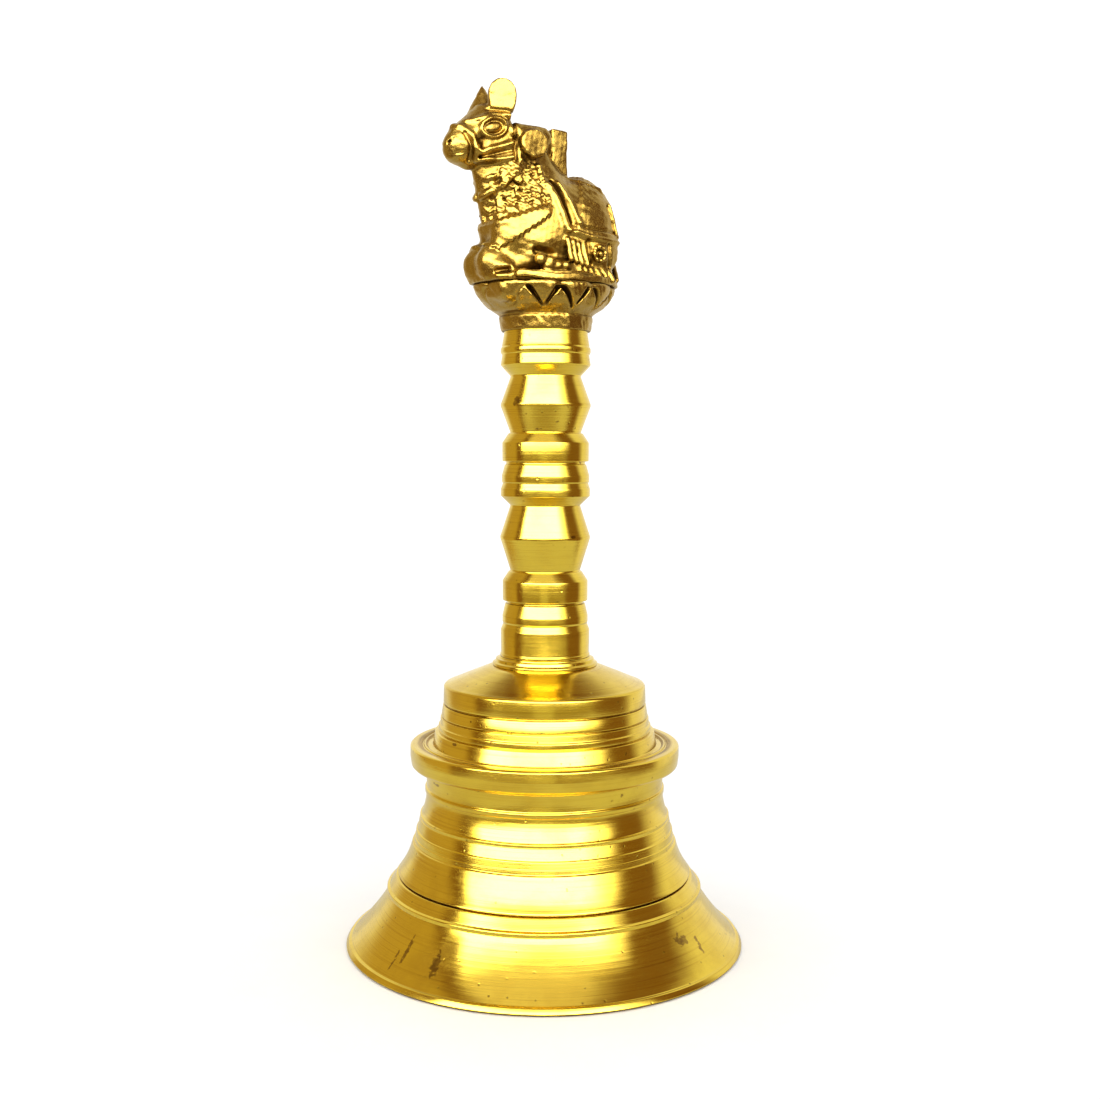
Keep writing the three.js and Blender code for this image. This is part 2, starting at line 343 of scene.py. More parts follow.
def without_specks(vertices, quads):
    """Only the largest connected surface, and the vertices that it uses."""
    label = np.arange(len(vertices))
    settled = False
    while not settled:
        lowest = label.copy()
        np.minimum.at(lowest, quads.ravel(), np.repeat(label[quads].min(axis=1), 4))
        lowest = lowest[lowest]
        settled = (lowest == label).all()
        label = lowest
    owner = label[quads[:, 0]]
    names, sizes = np.unique(owner, return_counts=True)
    kept = quads[owner == names[sizes.argmax()]]
    used, renumbered = np.unique(kept, return_inverse=True)
    return vertices[used], renumbered.reshape(kept.shape)


def field_object(name, g, field, heading=HEADING):
    """The field's surface as an object, turned from the bull's own frame to the part's frame."""
    vertices, quads = without_specks(*surface_net(field, g.low, g.step))
    c, s = math.cos(heading), math.sin(heading)
    u, v, w = vertices.T
    placed = np.stack([-u * c + v * s, -u * s - v * c, w], axis=1) * MM
    thing = new_object(name, placed.tolist(), quads.tolist())
    relax = thing.modifiers.new("relax", "SMOOTH")
    relax.factor, relax.iterations = 0.5, 1
    shade_smooth(thing, 180)
    return thing


def lumpy(g, size, seed):
    """Gentle unevenness, about -1 to 1, with humps about size millimetres apart."""
    draw = random.Random(seed)
    total = 0
    waves = 6
    for _ in range(waves):
        k = [draw.gauss(0, 1) for _ in range(3)]
        scale = 2 * math.pi / size / math.sqrt(sum(c * c for c in k)) * draw.uniform(0.7, 1.4)
        total = total + np.sin((g.u * k[0] + g.v * k[1] + g.w * k[2]) * scale + draw.uniform(0, 6))
    return total / (waves / 2)


# ---------- materials ----------

class Nodes:
    """Adds nodes to a material or world and links them in one call."""

    def __init__(self, tree):
        self.tree = tree
        tree.nodes.clear()

    def add(self, kind, settings=None, **inputs):
        """A new ShaderNode of a kind. Inputs go by name with _ for a space, or by place as i0, i1..."""
        node = self.tree.nodes.new("ShaderNode" + kind)
        for key, value in (settings or {}).items():
            setattr(node, key, value)
        for key, value in inputs.items():
            place_or_name = int(key[1:]) if key[1:].isdigit() else key.replace("_", " ")
            self.feed(node.inputs[place_or_name], value)
        return node

    def feed(self, socket, value):
        if isinstance(value, bpy.types.NodeSocket):
            self.tree.links.new(value, socket)
        elif isinstance(value, bpy.types.Node):
            self.tree.links.new(value.outputs[0], socket)
        else:
            socket.default_value = value

    def math(self, operation, a, b=0.0, c=0.0):
        return self.add("Math", {"operation": operation}, i0=a, i1=b, i2=c).outputs[0]

    def times(self, a, b):
        return self.math("MULTIPLY", a, b)

    def times_plus(self, a, b, c):
        return self.math("MULTIPLY_ADD", a, b, c)

    def axes(self, vector):
        return self.add("SeparateXYZ", i0=vector).outputs

    def ramp(self, factor, stops, smooth="LINEAR"):
        """A colour ramp of (place, colour or grey) stops."""
        node = self.add("ValToRGB", i0=factor)
        node.color_ramp.interpolation = smooth
        elements = node.color_ramp.elements
        while len(elements) < len(stops):
            elements.new(1.0)
        for element, (place, colour) in zip(elements, stops):
            element.position = place
            grey = (colour,) * 3 if isinstance(colour, (int, float)) else colour
            element.color = (*grey, 1)
        return node.outputs[0]

    def mix(self, factor, a, b):
        node = self.add("Mix", {"data_type": "RGBA"})
        self.feed(node.inputs[0], factor)
        self.feed(node.inputs[6], a)
        self.feed(node.inputs[7], b)
        return node.outputs[2]

    def noise(self, vector, scale, detail=3.0, rough=0.55):
        node = self.add("TexNoise", Vector=vector, Scale=scale, Detail=detail, Roughness=rough)
        return node.outputs[0]

    def bump(self, height, strength, distance):
        return self.add("Bump", Strength=strength, Distance=distance, Height=height)


def new_material(name):
    material = bpy.data.materials.new(name)
    material.use_nodes = True
    return material, Nodes(material.node_tree)


def bare_metal(n, colour, rough, bump):
    """A metal shader, joined to the material's output."""
    shader = n.add("BsdfPrincipled", Base_Color=colour, Roughness=rough, Normal=bump)
    shader.inputs["Metallic"].default_value = 1.0
    n.add("OutputMaterial", Surface=shader)
    return shader


BRASS = (0.78, 0.59, 0.068, 1)
DEEP_BRASS = (0.50, 0.30, 0.018, 1)
CAST_BRASS = (0.42, 0.29, 0.062, 1)
DEEP_CAST = (0.30, 0.165, 0.020, 1)
PATINA = (0.060, 0.026, 0.005, 1)
# the colour of the painted shade in the turned grooves
GROOVE_SHADE = (0.15, 0.07, 0.012, 1)
STAIN = (0.20, 0.10, 0.02, 1)
INSIDE_DULL, INSIDE_DARK = (0.40, 0.24, 0.04, 1), (0.16, 0.085, 0.02, 1)


def stretched(n, across=1, up=None):
    """Object coordinates in millimetres, scaled across the Z axis and up it."""
    where = n.add("TexCoord").outputs["Object"]
    x, z = across * 1000, (up or across) * 1000
    return n.add("Mapping", Vector=where, Scale=(x, x, z)).outputs[0]


# stains and scratches: compass angle in degrees, height, half width along the surface, half height (mm)
HANDLING_MARKS = [
    (-47, 5.4, 0.9, 3.6), (-50, 3.6, 0.6, 2.6), (-34, 4.6, 1.5, 3.6), (50, 6.3, 2.6, 1.9),
    (57, 5.0, 1.3, 2.6), (9, 16.3, 0.4, 0.6), (38, 29.8, 0.9, 0.8), (33, 29.3, 0.3, 0.3),
    (-62, 30.0, 2.4, 0.5), (-52, 37.4, 1.5, 0.5), (-28, 38.8, 0.6, 0.4), (-40, 95.0, 1.5, 1.6),
    (17, 91.7, 0.7, 0.4), (38, 72.0, 0.9, 0.6), (-12, 90.4, 1.3, 0.35), (60, 84.6, 0.9, 0.5),
    (165, 8.0, 1.5, 2.0), (140, 24.0, 0.8, 0.8), (-120, 6.5, 0.4, 3.0), (-150, 33.5, 1.6, 0.6),
    (110, 70.0, 1.0, 0.8),
]


def handling_marks(n):
    """Where the stains are: 1 in the middle of each, broken up at its edge."""
    where = n.axes(stretched(n))
    turn = n.math("ARCTAN2", where[0], n.times(where[1], -1.0))
    squares = [n.times(axis, axis) for axis in (where[0], where[1])]
    reach = n.math("SQRT", n.math("ADD", *squares))
    ragged = n.noise(stretched(n), 1.1, 3, 0.6)
    total = None
    for angle, height, wide, tall in HANDLING_MARKS:
        off = n.math("SUBTRACT", turn, math.radians(angle))
        across = n.math("DIVIDE", n.times(off, reach), wide)
        up = n.math("DIVIDE", n.math("SUBTRACT", where[2], height), tall)
        far = n.math("ADD", n.times(across, across), n.times(up, up))
        total = far if total is None else n.math("MINIMUM", total, far)
    return n.ramp(n.times_plus(ragged, 1.6, total), [(0.7, 0.85), (1, 0.55), (1, 0)])


def inward(n):
    """1 where the surface faces the Z axis, as the inside of the bell does, and 0 outside."""
    at = n.axes(stretched(n))
    facing = n.axes(n.add("TexCoord").outputs["Normal"])
    along = n.times_plus(at[0], facing[0], n.times(at[1], facing[1]))
    return n.ramp(n.times(along, -0.5), [(0, 0), (0.6, 1)])


def polished_brass():
    """Lathe-turned and buffed brass: fine rings round the axis, faint tarnish and small pits."""
    material, n = new_material("polished_brass")
    rings = n.noise(stretched(n, 0.02, 3.2), 1, 4, 0.7)
    fine = n.noise(stretched(n, 0.05, 9), 1, 2, 0.6)
    cloud = n.noise(stretched(n, 0.12), 1, 4, 0.6)
    tarnish = n.ramp(cloud, [(0.45, 0), (0.75, 1)])
    pits_at = n.add("TexVoronoi", Vector=stretched(n, 0.5), Scale=1.0)
    pits = n.ramp(pits_at.outputs[0], [(0, 1), (0.12, 0)])
    colour = n.mix(n.times(tarnish, 0.45), BRASS, DEEP_BRASS)
    streaks = n.ramp(n.noise(stretched(n, 0.03, 5.5), 1, 3, 0.7), [(0.52, 0), (0.72, 0.55)])
    colour = n.mix(streaks, colour, DEEP_BRASS)
    colour = n.mix(n.times(pits, 0.8), colour, PATINA)
    # painted shade: ambient occlusion darkens the turned grooves and steps
    groove = n.add("AmbientOcclusion", {"samples": 6}, Distance=0.0011).outputs[1]
    colour = n.mix(n.ramp(groove, [(0.2, 0.9), (0.55, 0)]), colour, GROOVE_SHADE)
    colour = n.mix(handling_marks(n), colour, STAIN)
    rough = n.times_plus(rings, 0.16, 0.07)
    rough = n.times_plus(tarnish, 0.10, rough)
    # the inside is left dull and stained
    inner = inward(n)
    stained = n.mix(n.ramp(cloud, [(0.38, 0), (0.62, 1)]), INSIDE_DULL, INSIDE_DARK)
    colour = n.mix(n.times(inner, 0.8), colour, stained)
    rough = n.times_plus(inner, 0.22, rough)
    height = n.math("ADD", rings, n.times(fine, 0.35))
    height = n.math("SUBTRACT", height, n.times(pits, 2.5))
    dents = n.noise(stretched(n, 0.16), 1, 1, 0.5)
    height = n.math("ADD", height, n.times(dents, 9.0))
    shader = bare_metal(n, colour, rough, n.bump(height, 0.35, 0.00003))
    shader.inputs["Coat Weight"].default_value = 0.2
    shader.inputs["Coat Roughness"].default_value = 0.12
    return material


def cast_brass():
    """Cast brass rubbed bright on the high places, brown and grainy in the hollows."""
    material, n = new_material("cast_brass")
    at = stretched(n)
    grain = n.noise(at, 3, 4, 0.65)
    cloud = n.noise(at, 0.25, 3, 0.55)
    hollow = n.add("AmbientOcclusion", {"samples": 8}, Distance=0.0030).outputs[1]
    worn = n.ramp(n.times_plus(cloud, 0.22, hollow), [(0.58, 0), (0.78, 0.45), (1, 1)])
    colour = n.mix(worn, PATINA, CAST_BRASS)
    colour = n.mix(n.times(cloud, 0.65), colour, DEEP_CAST)
    rough = n.times_plus(worn, -0.24, 0.44)
    rough = n.times_plus(grain, 0.12, rough)
    bare_metal(n, colour, rough, n.bump(grain, 0.5, 0.00008))
    return material


def worn_brass():
    """The fixings' brass: unpolished and blotchy."""
    material, n = new_material("worn_brass")
    at = stretched(n)
    grain = n.noise(at, 2, 4, 0.6)
    colour = n.mix(n.ramp(grain, [(0.35, 0), (0.7, 1)]), DEEP_BRASS, BRASS)
    rough = n.times_plus(grain, 0.25, 0.25)
    bare_metal(n, colour, rough, n.bump(grain, 0.4, 0.00006))
    return material


def clapper_brass():
    """The striker's ball: dull all over, with a bright bruised belt where it hits the bell."""
    material, n = new_material("clapper_brass")
    at = stretched(n)
    grain = n.noise(at, 1.6, 4, 0.6)
    height = n.axes(at)[2]
    middle = (ball_low.z + ball_high.z) / 2 / MM
    off = n.math("ABSOLUTE", n.math("SUBTRACT", height, middle))
    ragged = n.times_plus(grain, 1.6, off)
    belt = n.ramp(ragged, [(0, 1), (0.25, 1), (0.95, 0.85), (1, 0)])
    colour = n.mix(belt, n.mix(grain, DEEP_CAST, DEEP_BRASS), BRASS)
    rough = n.times_plus(belt, -0.22, 0.45)
    dents = n.add("TexVoronoi", Vector=at, Scale=0.9).outputs[0]
    bare_metal(n, colour, rough, n.bump(n.times_plus(grain, 0.5, dents), 0.5, 0.00008))
    return material


POLISHED, CAST, WORN, STRIKER = polished_brass(), cast_brass(), worn_brass(), clapper_brass()


def place(thing, material, body, node, slot):
    """Puts a finished piece on its body, in place of its CAD node."""
    thing.data.materials.append(material)
    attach(thing, body)
    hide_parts(node)


# ---------- bell ----------

def bell_outline():
    """Up the outside from the rim, over the crown, and down the inside."""
    lip = LIP_RADIUS / MM
    crown = bell_high.z / MM
    ceiling = crown - 2.8

    def inset(*points):
        """(r, z) points from how far each one is inside the lip, and its height."""
        return [(lip - x, z) for x, z in points]

    outside = inset((1.8, 0), (0.3, 0), (0, 0.35), (0.5, 1.1), (0.85, 1.2))
    outside += curve(*inset((1, 1.25), (4.9, 5), (7.6, 9.6)))
    outside += inset((7.2, 9.7), (7.25, 10.4), (7.75, 10.6))
    outside += curve(*inset((7.8, 10.7), (8.4, 11.6), (8.9, 12.4)), 4)
    outside += inset((9.6, 12.5), (9.6, 12.68), (9.2, 12.72))
    outside += curve(*inset((9.25, 12.9), (11, 15.2), (11.7, 18.2)), 8)
    outside += inset((12.05, 18.3), (12.1, 19.1), (12.25, 19.15), (12.35, 20.4))
    outside += inset((12.6, 20.5), (12.95, 22.4), (13.05, 22.45), (13, 23.05))
    outside += curve(*inset((13.3, 23.15), (14, 24.8), (14.15, 27)), 6)
    outside += inset((13.9, 27.1), (13.9, 27.9), (14.2, 28), (14.1, 30.9), (13.7, 31), (13.6, 31.5))
    outside += inset((11.9, 31.6), (11.55, 32), (11.35, 33.5), (11.36, 35.2), (11.7, 35.5))
    outside += inset((13.3, 35.5), (13.4, 35.25), (13.7, 35.25), (13.8, 35.5), (14.2, 35.5))
    outside += inset((14.3, 35.2), (14.6, 35.2), (15.3, 35.3), (15.7, 37.7), (16.4, 37.75))
    outside += inset((16.3, 37.9), (16.32, 38.85), (16.65, 38.95), (16.67, 40.15), (17.1, 40.2))
    outside += inset((16.85, 40.45), (17.15, 42.4), (17.6, 42.45), (17.6, 42.65))
    outside += inset((17.2, 42.75), (17.3, 45.6), (17.6, 45.95))
    outside += curve(*inset((18.2, 46.15), (20.6, 47.2), (25.6, crown)), 8)
    inside = [(BORE_RADIUS, crown), (BORE_RADIUS, ceiling)] + inset((26.4, ceiling))
    inside += curve(*inset((25.6, crown - 3), (20.6, 44.6), (19.8, 42)), 5)
    inside += curve(*inset((18.6, 37), (16.6, 34), (16.5, 29)), 5)
    inside += curve(*inset((16.5, 27), (16.2, 21), (13.1, 15.5)), 6)
    inside += curve(*inset((12.4, 14.5), (10.2, 9.6), (4.8, 3.4)), 6)
    return soften(outside, EDGE) + inside


def seat_outline():
    low, high, radius = seat_low.z / MM, seat_high.z / MM, seat_high.x / MM
    outline = [(BORE_RADIUS, low), (radius, low), (radius, low + 0.5), (radius - 0.5, low + 0.7)]
    outline += [(radius - 0.6, high - 0.35), (radius - 1.1, high - 0.3), (radius - 1.2, high)]
    return soften(outline + [(BORE_RADIUS, high)], EDGE)


def grip_outline():
    """From the top of the eye bolt's bore, round the outside, to the foot of the stud's bore."""
    low, high = grip_low.z / MM, grip_high.z / MM
    eye_bore_top, stud_bore_foot = 66, high - 9.5
    neck = [(BORE_RADIUS, low), (7.85, low), (7.85, low + 0.5), (7.72, low + 0.6), (7.8, 55.5)]
    lower_rings = [(7.35, 56.6), (7.5, 56.9), (7.5, 58), (7, 60.1), (6.65, 60.15), (6.65, 60.6)]
    lower_band = [(7.44, 60.65), (7.46, 62), (7.46, 64.1), (6.4, 65.7)]
    lower_cones = [(6.15, 65.8), (6.15, 66), (7.86, 71.5), (7.86, 71.85), (6.15, 77.1), (6.15, 77.3)]
    middle_rings = [(7.6, 78.7), (7.8, 78.85), (7.8, 80.1), (7.45, 81.1), (7.62, 81.3), (7.65, 82.4)]
    middle_band = [(7.12, 84.3), (6.9, 84.4), (6.9, 84.8), (7.54, 84.9), (7.56, 86.5), (7.56, 88.1),
                   (6.5, 89.7)]
    upper_cones = [(6.2, 89.8), (6.2, 90), (7.84, 94.4), (7.84, 94.75), (6.15, 99.4), (6.15, 99.65)]
    upper_rings = [(7.6, 101.2), (7.82, 101.5), (7.55, 103.2), (7.66, 103.35), (7.82, 103.7),
                   (7.8, 104.3), (7.58, 104.65), (7.6, 104.8), (7.28, 106.7), (7.28, high)]
    outside = soften(neck + lower_rings + lower_band + lower_cones + middle_rings + middle_band
                     + upper_cones + upper_rings, EDGE)
    stud_bore = [(BORE_RADIUS, high), (BORE_RADIUS, stud_bore_foot), (0, stud_bore_foot)]
    return [(0, eye_bore_top), (BORE_RADIUS, eye_bore_top)] + outside + stud_bore


bell_shell = turned("bell_shell", bell_outline(), 272, wobble=0.03)
seat_ring = turned("seat_ring", seat_outline(), 192)
grip = turned("grip", grip_outline(), 224, closed=False, wobble=0.02)
place(bell_shell, POLISHED, "bell", "bell_cup", "polished_brass")
place(seat_ring, POLISHED, "bell", "handle_seat_ring", "polished_brass")
place(grip, POLISHED, "bell", "handle", "polished_brass")


# ---------- bull ----------
# Sizes and places are in millimetres in the bull's own frame, where w is the height above the mouth.

def bull_trunk(g):
    """The body, neck, brisket and dewlap."""
    trunk = ellipsoid(g, (-1.3, 0, 123.4), (10.6, 8.3, 9.6))
    trunk = melt(trunk, ellipsoid(g, (-5, 0, 124.6), (7.3, 7.4, 9.1)), 1.5)
    trunk = melt(trunk, ellipsoid(g, (3.6, 0, 123.6), (7, 7.9, 8.6)), 1.5)
    trunk = melt(trunk, ellipsoid(g, (4.5, 0, 121.2), (6.3, 7.5, 6)), 1)
    trunk = melt(trunk, ellipsoid(g, (1.6, 0, 127.6), (6.2, 6.9, 6.6)), 1.5)
    neck = limb(g, (5.3, 0, 126.4), (8.6, 0, 136), 6, 5)
    nape = limb(g, (7.5, 0, 138.5), (1.2, 0, 138.6), 2.9, 2.2)
    back_of_neck = limb(g, (4.6, 0, 136.4), (1.4, 0, 131.6), 3.9, 4.2)
    trunk = melt(trunk, neck, 1.5)
    trunk = melt(melt(trunk, back_of_neck, 1.5), nape, 0.8)
    brisket = limb(g, (8, 1.3, 121.6), (8.7, 1.1, 124.6), 3, 3, mirrored=True)
    brisket = melt(brisket, limb(g, (8.1, 3.3, 121.8), (8.5, 3, 124.6), 3.5, 3.4), 0.8)
    dewlap = limb(g, (11.2, 0, 133.4), (9.2, 0, 125), 2.8, 2.9)
    return melt(melt(trunk, brisket, 0.8), dewlap, 1)


def bull_head(g):
    """The head without its horns, ears and bridle."""
    skull = limb(g, (11.5, 0, 140.1), (15.6, 0, 137.9), 4.3, 3.1)
    cheek = block(g, (11.6, 0, 138), (2.9, 4.3, 4), 1.5)
    jaw = limb(g, (11.2, 0, 136.6), (15.2, 0, 135.6), 3, 2.3)
    head = melt(melt(skull, cheek, 0.6), jaw, 0.7)
    return melt(head, ellipsoid(g, (16.4, 0, 136.9), (3.05, 3.1, 3.15)), 0.35)


def bull_legs(g):
    """The folded legs, lying on the base."""
    upper = limb(g, (5, 5, 118.4), (11, 3.4, 117.8), 2.1, 2.2, mirrored=True)
    knee = melt(ellipsoid(g, (11.8, 2.3, 118.1), (2.5, 2.4, 2.9), mirrored=True),
                limb(g, (11.8, -2, 118), (11.8, 2, 118), 2.2, 2.2), 1.2)
    haunch = ellipsoid(g, (-5, 5.4, 120.6), (5.8, 3.3, 4.8), mirrored=True)
    foot = limb(g, (-7.6, 6.4, 117.2), (4.4, 8, 117.4), 1.5, 1.2, mirrored=True)
    front = melt(upper, knee, 1.4)
    return np.minimum(front, melt(haunch, foot, 0.6))


def add_horns_and_ears(clay):
    # the near horn's outer face was ground flat
    def paddle(here):
        leaf = ellipsoid(here, (10.25, 3, 145.2), (2.4, 2.6, 2.95))
        root = limb(here, (10.3, 2.6, 142.6), (10.1, 2.9, 144.6), 2.1, 2.1)
        face = 0.94 * (here.v - 4) + 0.33 * (here.u - 10) + 0.05 * (here.w - 145.2)
        return np.maximum(melt(leaf, root, 0.5), face)
    clay.add(paddle, 0.25, (6, 0, 139), (14, 6, 149.5))

    # the far horn is left pointed
    def spike(here):
        cone = limb(here, (11, -2.6, 143.3), (10.9, -3, 148.1), 2.65, 0.22)
        return np.maximum(cone, -4.3 - here.v)
    clay.add(spike, 0.25, (6, -7, 139), (15, 0, 149.5))
    for side in (-1, 1):
        def ear(here):
            bar = limb(here, (8.4, 3.2 * side, 139.4), (2.9, 3.2 * side, 139.2), 1.8, 1.75)
            disc = ellipsoid(here, (5.4, 4.8 * side, 137.7), (2.75, 2.6, 2.45))
            return np.maximum(melt(bar, disc, 0.3), here.side - 5.9)
        clay.add(ear, 0.25, (-1, -8 if side < 0 else 0, 134), (10, 0 if side < 0 else 8, 142.5))


def add_hump(clay):
    """The hump is a plain upright block, as cast."""
    clay.add(lambda here: block(here, (-1.5, 0, 136.6), (1.6, 2.05, 4.75), 0.3), 0.3,
             (-5, -4, 130), (2, 4, 142.5))


def add_face(clay):
    # bridle: a noseband round the muzzle and two cheek straps
    clay.bar([(17.6, 0, 139.9), (17.2, 1.5, 139.7), (15.8, 2.9, 138.2), (15.1, 3.1, 136.2),
              (14.8, 2.3, 134.7)], 0.6)
    clay.stroke([(16.9, 138.6), (16, 136.8), (15.8, 134.6)], 0.5, -0.45)
    clay.stroke([(14.3, 135.7), (11.4, 136.7), (8.8, 137.7)], 0.8, 0.5)
    clay.stroke([(14.4, 134.3), (11.6, 134.6), (8.8, 135.2)], 0.6, 0.4)
    clay.stroke([(14.3, 134.9), (8.9, 136.4)], 0.4, -0.45)
    clay.stroke([(8.6, 142.2), (8.5, 135)], 0.55, -0.8, deep=(2.6, 12))
    clay.stroke([(14.2, 137.6), (13.9, 135.9)], 0.9, -0.35)
    # eyes: a raised almond ring round a narrow eyeball
    spans, here = clay.g.part((8, -8, 136), (17, 8, 143.5))
    x, z = here.u - 12.4, here.w - 139.7
    tilt = math.radians(16)
    x, z = x * math.cos(tilt) - z * math.sin(tilt), x * math.sin(tilt) + z * math.cos(tilt)
    along, across = x / 2.55, z / 1.75
    almond = np.sqrt(along ** 2 + across ** 2)
    outer = under((np.abs(almond - 0.86) - 0.13) * 1.8, 0.12)
    ball = under((np.sqrt((x / 1.45) ** 2 + (z / 0.75) ** 2) - 1) * 0.7, 0.2)
    well = under((almond - 0.74) * 1.8, 0.15)
    outward = under(1.2 - here.side, 0.3)
    clay.field[spans] -= (0.5 * outer + 0.55 * ball - 0.35 * well) * outward
    # brow ridge, and the crease between brow and horn
    clay.stroke([(16.2, 140.9), (14.6, 141.1), (12.2, 142.2), (9.6, 142)], 0.7, 0.3)
    clay.stroke([(12.9, 142.8), (10.2, 142.75), (8.2, 142.3)], 0.35, -0.35, deep=(1.8, 12))
    # nostrils and mouth
    clay.cut([(18.3, 1.5, 137.6), (18.9, 1.1, 137.1)], 0.34)
    clay.cut([(19.4, 0, 135.3), (18.6, 1.6, 135.2), (16.9, 2.9, 135.5)], 0.16)


def add_necklaces(clay):
    # a wide band over the chest with notched edges
    low_edge = [(3.4, 126), (8.5, 122.3), (11.9, 119.9), (13.4, 120.9)]
    high_edge = [(3.4, 127.7), (8.8, 125.7), (13.4, 124.2)]
    spans, here = clay.g.part((2, -11, 118), (16, 11, 138))
    teeth = 0.18 * np.sin(here.u * 7.0 + 0.8 * np.sin(here.w * 2.3))
    over_low, over_high = above_line(here, low_edge), above_line(here, high_edge)
    inside = under(-over_low - teeth, 0.18) * under(over_high - teeth, 0.18)
    wide = inside * under(3.6 - here.u, 0.2)
    # rows of small beads between the wide band and the cheek
    grit = np.sin(here.u * 6.1 + 1.3 * np.sin(here.w * 1.9))
    grit = grit * np.sin(here.w * 5.7 + 1.1 * np.sin(here.u * 2.3))
    grit = grit * 0.5 + 1.1 * lumpy(here, 1.4, 12)
    upper_limit = [(1, 136.5), (9, 135), (13, 131.8)]
    beaded = under(-over_high + 0.2, 0.2) * under(above_line(here, upper_limit), 0.4)
    beaded = beaded * under(2.6 + 0.28 * (here.w - 126) - here.u, 0.5)
    beaded = beaded * under(here.u - 12.2, 0.5)
    clay.field[spans] -= 0.5 * wide + beaded * (0.36 * np.clip(grit, -1, 1) - 0.12)
    # two narrow bands under the jaw, and a string of larger beads up the side of the neck
    clay.stroke([(13.2, 128.9), (11.1, 130.4), (8.8, 132.9)], 1.1, 0.75)
    clay.stroke([(12.6, 131.7), (10.9, 132.5)], 0.9, 0.35)
    for i in range(6):
        t = i / 5
        clay.ball((3 + 1.3 * t, 6 - 1.2 * t, 129 + 5 * t), 0.55)


def add_saddle(clay):
    # the cloth, a little proud of the back, with its hem and an inner line
    hem = [(-13.5, 122.3), (-8, 122.2), (-3.5, 122.5), (0.3, 123.4)]
    inner = [(-9.6, 123.9), (-4.7, 123.95), (-1, 124.4)]
    spans, here = clay.g.part((-15.5, -11, 120), (4, 11, 135.5))
    edge = here.w - 124.5 + (here.u + 1.4) * 2.9  # the front edge leans back down the flank
    cloth = under(-above_line(here, hem), 0.2) * under(edge - 0.6, 0.4)
    nap = under(129.6 - here.w, 0.8) * (0.07 * lumpy(here, 1.3, 5) + 0.03 * lumpy(here, 0.9, 6))
    clay.field[spans] -= cloth * (0.4 + nap)
    clay.stroke(hem, 0.7, 0.35)
    clay.stroke(inner, 0.4, -0.4)
    clay.stroke([(-9.7, 123.9), (-9.2, 126.2), (-8.6, 128.4)], 0.35, -0.4)
    clay.stroke([(-10.5, 123.4), (-9.9, 126.2), (-9.2, 128.8)], 0.6, 0.3)
    # two straps with a deep fold between them, and a seam over the back
    clay.stroke([(3.1, 131.3), (1.8, 127.4), (0.6, 123.6)], 0.85, 0.55, tail=1.2)
    clay.stroke([(1, 131.6), (-0.6, 127.6), (-1.6, 124.5)], 0.8, 0.55)
    clay.stroke([(2, 131.5), (0.7, 127.6), (-0.2, 124.6)], 0.95, -1, tail=0.3)
    clay.stroke([(-2.2, 133.6), (-5, 132.4), (-8.4, 131.6)], 0.5, 0.25)


def add_feet_and_tail(clay):
    # hooves, folded hind legs and the tassels beside them, as one crowded row on each flank
    for u, w, size in ((5.9, 118.3, 1), (4, 118.1, 0.95), (2.5, 117.6, 0.85), (1.1, 117.6, 0.85)):
        clay.ball((u, 8.3, w), size)
    for i, u in enumerate((0.7, -0.35, -1.4, -2.5)):
        clay.bar([(u, 8.35, 121.9 - 0.3 * i), (u - 0.55, 8.75, 118.6 - 0.25 * i)], 0.42)
    for turn in range(9):
        a = turn * 0.75
        clay.ball((-5.4 + 1.15 * math.cos(a), 8.75, 119.9 + 1.15 * math.sin(a)), 0.45)
    clay.ball((-5.4, 9.1, 119.9), 0.42)
    for i in range(6):
        u = -1.6 - 1.25 * i
        clay.bar([(u, 8.4 - 0.16 * i, 117.2), (u - 0.7, 8.9 - 0.16 * i, 115.7)], 0.42)
    clay.stroke([(5.8, 119.9), (3.4, 119.6)], 1, -0.8, deep=(5, 12), soft=0.3)
    clay.stroke([(-3.3, 121.9), (-3.9, 118.3)], 0.6, -0.6, deep=(5, 12))
    clay.stroke([(-7.5, 121.6), (-7.9, 118)], 0.5, -0.5, deep=(4, 12))
    # tail: down the rump and round to one side, with a tuft
    tail = [(-11.2, 0, 129.6), (-12.4, 0.2, 126.2), (-12.7, 0.8, 121.8), (-12, 2.4, 118.6)]
    clay.bar(tail, 0.6, sides=(1,))
    for i in range(5):
        hair = [(-12, 2.2 + 0.2 * i, 118.8), (-11.6 + 0.1 * i, 2.8 + 0.6 * i, 116.2)]
        clay.bar(hair, 0.42, sides=(1,))


def add_slab(clay):
    """The oval plate that the bull lies on, with a wavy rim."""
    spans, here = clay.g.part((-15.5, -11.6, 114), (15.5, 11.6, 119))
    wave = 0.45 * np.exp(-((here.u - 9.4) / 1.7) ** 2) - 0.45 * np.exp(-((here.u - 12.6) / 1.2) ** 2)
    wave = wave + 0.12 * np.sin(here.u * 1.1 + here.v * 0.7)
    oval = (np.sqrt(((here.u - 0.8) / 13.2) ** 2 + (here.v / 10.2) ** 2) - 1) * 11
    lip = np.abs(np.maximum(oval, -2.2)) - 0.28
    tall = np.abs(here.w - 115.5 - wave) - 0.35
    rim = np.hypot(np.maximum(lip, 0), np.maximum(tall, 0)) - 0.25
    rim = rim + 1.5 * under(10.4 - here.u, 0.4)  # the knees lie over the rim in front
    plate = np.maximum(oval + 0.7, here.w - 116.6)
    clay.field[spans] = melt(melt(clay.field[spans], plate, 0.3), rim, 0.3)
    clay.add(lambda part: limb(part, (10.8, 4.8, 116), (11.4, -3, 116), 2.1, 1.9), 1.2,
             (5, -9, 112), (16, 9, 120))
    clay.stroke([(12.3, 116.3), (10.7, 116.5)], 0.7, -1.3, deep=(5, 12), soft=0.25)


